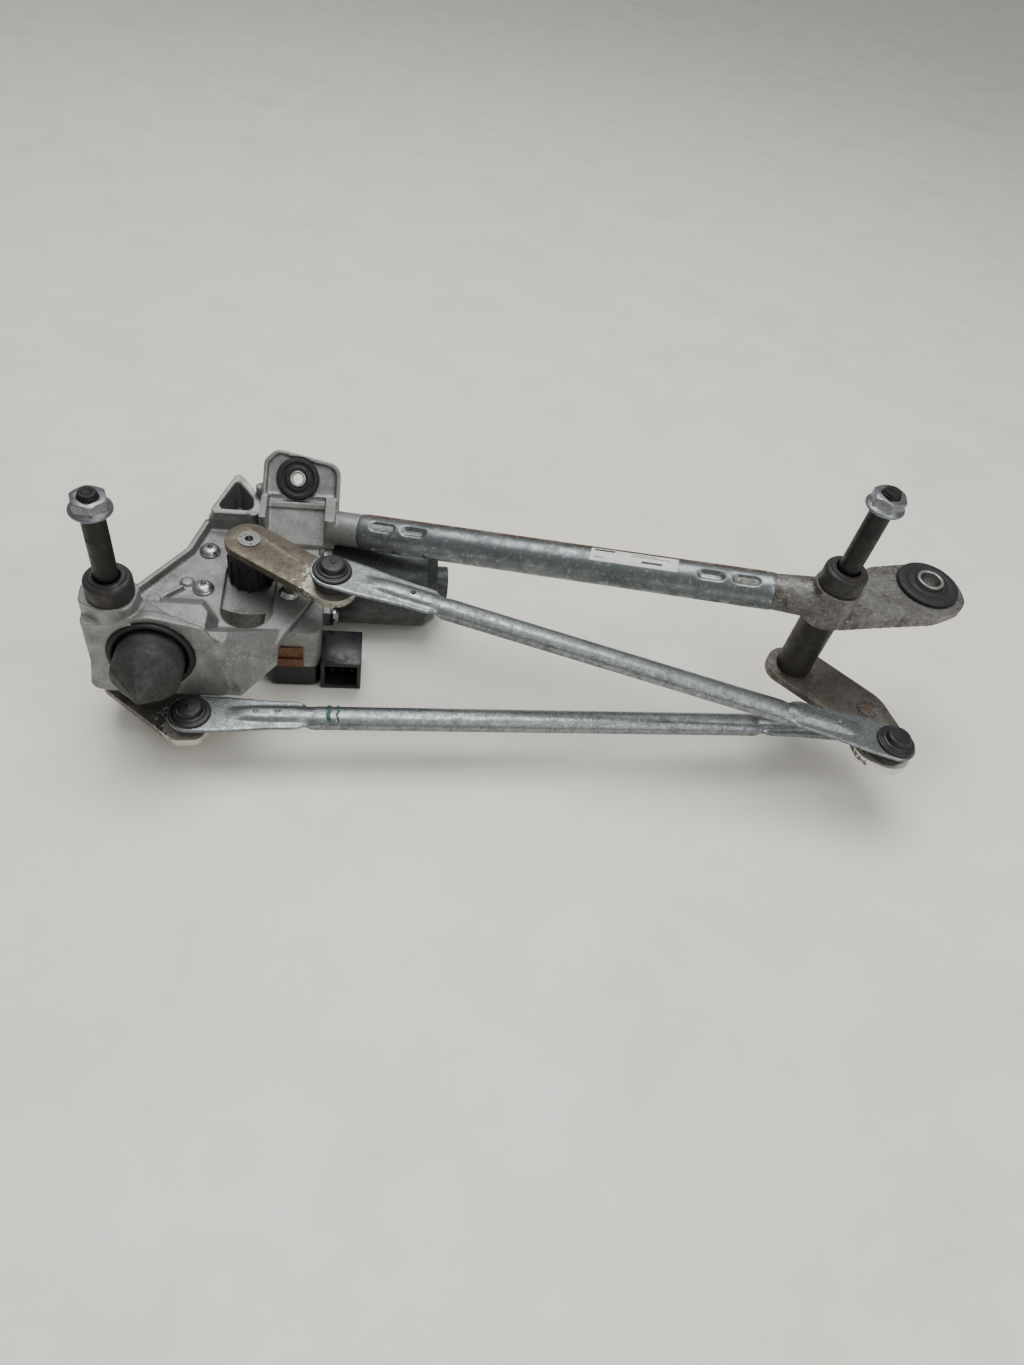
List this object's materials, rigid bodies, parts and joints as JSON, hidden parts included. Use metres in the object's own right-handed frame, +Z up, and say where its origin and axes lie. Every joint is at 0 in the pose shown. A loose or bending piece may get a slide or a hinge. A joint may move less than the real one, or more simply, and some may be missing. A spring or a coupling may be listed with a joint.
{
  "type": "windscreen wiper linkage with motor",
  "caption": "Wiper linkage on a cast bracket and cross tube: geared motor with crank, ball-jointed pressed rods, levers, threaded wiper spindles, rubber-bushed ears and a locating plug.",
  "frame": {"origin": "on the left wiper spindle's axis, at the height where the wiper arm seats under its nut", "axes": "+Z up along both wiper spindles, +X from the left spindle towards the right one (the longest extent), -Y towards the side with the locating plug and the lever tips"},
  "size_m": [0.4999, 0.2098, 0.2039],
  "materials": {
    "cast_alloy": "rough sand-blasted die casting",
    "gear_alloy": "die cast",
    "galvanised_steel": "galvanised sheet",
    "zinc_steel": "zinc plated",
    "nut_steel": "grey zinc flake",
    "bright_steel": "ground",
    "black_steel": "black e-coat",
    "lever_steel": "plain pressed steel, lightly tarnished",
    "yoke_steel": "dark zinc grey paint",
    "core_steel": "stacked sheet steel",
    "magnet": "sintered ferrite",
    "bronze": "sintered bronze",
    "copper": "copper alloy",
    "carbon": "pressed carbon",
    "black_plastic": "moulded, fine grain",
    "gear_plastic": "natural nylon",
    "board": "circuit board laminate",
    "black_rubber": "matt moulded",
    "plug_rubber": "dusty moulded rubber"
  },
  "bodies": {
    "frame": {"bracket_casting": "cast_alloy", "pivot_housing": "cast_alloy", "cross_tube": "galvanised_steel", "left_bearing_tube": "black_steel", "right_bearing_tube": "black_steel", "left_bushes": "bronze", "right_bushes": "bronze", "left_collar": "black_plastic", "right_collar": "black_plastic", "left_grommet": "black_rubber", "left_sleeve": "zinc_steel", "right_grommet": "black_rubber", "right_sleeve": "zinc_steel", "plug_seat": "black_rubber", "locating_plug": "plug_rubber", "motor_screws": "zinc_steel", "gear_housing": "gear_alloy", "tower_boot": "black_rubber", "output_bush": "bronze", "cover_gasket": "black_rubber", "gear_cover": "black_plastic", "circuit_board": "board", "contact_strip": "copper", "cover_screws": "zinc_steel", "connector_housing": "black_plastic", "connector_terminals": "copper", "yoke": "yoke_steel", "yoke_magnets": "magnet", "yoke_screws": "zinc_steel", "end_bearing": "bronze", "front_bearing": "bright_steel", "worm_bearing": "bronze", "brush_plate": "black_plastic", "brushes": "carbon"},
    "armature": {"armature_shaft": "bright_steel", "worm": "bright_steel", "armature_core": "core_steel", "armature_windings": "copper", "commutator": "copper"},
    "motor_crank": {"worm_wheel": "gear_plastic", "output_shaft": "bright_steel", "motor_crank": "lever_steel"},
    "right_lever": {"right_spindle": "black_steel", "right_lever": "lever_steel", "right_nut": "nut_steel", "right_ball_studs": "bright_steel", "right_circlip": "black_steel"},
    "left_lever": {"left_spindle": "black_steel", "left_lever": "lever_steel", "left_nut": "nut_steel", "left_ball_stud": "bright_steel", "left_circlip": "black_steel"},
    "drive_rod": {"drive_rod": "galvanised_steel", "drive_rod_sockets": "black_plastic", "drive_rod_boots": "black_rubber", "crank_ball_stud": "bright_steel"},
    "transfer_rod": {"transfer_rod": "galvanised_steel", "transfer_rod_sockets": "black_plastic", "transfer_rod_boots": "black_rubber"}
  },
  "joints": [
    {"name": "armature_spin", "type": "hinge", "parent": "frame", "child": "armature", "pos_m": [0.11, 0.0926, -0.126], "axis": [1, 0, 0], "range_deg": [-6720, 0]},
    {"name": "crank_turn", "type": "hinge", "parent": "frame", "child": "motor_crank", "pos_m": [0.0629, 0.0626, -0.07], "axis": [0, 0, 1], "range_deg": [-141, 1]},
    {"name": "right_spindle_turn", "type": "hinge", "parent": "frame", "child": "right_lever", "pos_m": [0.3914, 0, -0.0882], "axis": [0, 0, 1], "range_deg": [-95.47, 1]},
    {"name": "left_spindle_turn", "type": "hinge", "parent": "frame", "child": "left_lever", "pos_m": [0, 0, -0.1248], "axis": [0, 0, 1], "range_deg": [-95.47, 1]},
    {"name": "drive_rod_swing", "type": "hinge", "parent": "right_lever", "child": "drive_rod", "pos_m": [0.43054, -0.06514, -0.0802], "axis": [0, 0, 1], "range_deg": [-1, 96.02]},
    {"name": "transfer_rod_swing", "type": "hinge", "parent": "right_lever", "child": "transfer_rod", "pos_m": [0.4298, -0.0328, -0.1012], "axis": [0, 0, 1], "range_deg": [-1, 95.47]}
  ],
  "couplings": [
    {"joint": "crank_turn", "follows": "armature_spin", "ratio": 0.020833},
    {"joint": "right_spindle_turn", "follows": "armature_spin", "ratio": 0.014058},
    {"joint": "left_spindle_turn", "follows": "armature_spin", "ratio": 0.014058},
    {"joint": "drive_rod_swing", "follows": "armature_spin", "ratio": -0.01414},
    {"joint": "transfer_rod_swing", "follows": "armature_spin", "ratio": -0.014058}
  ]
}
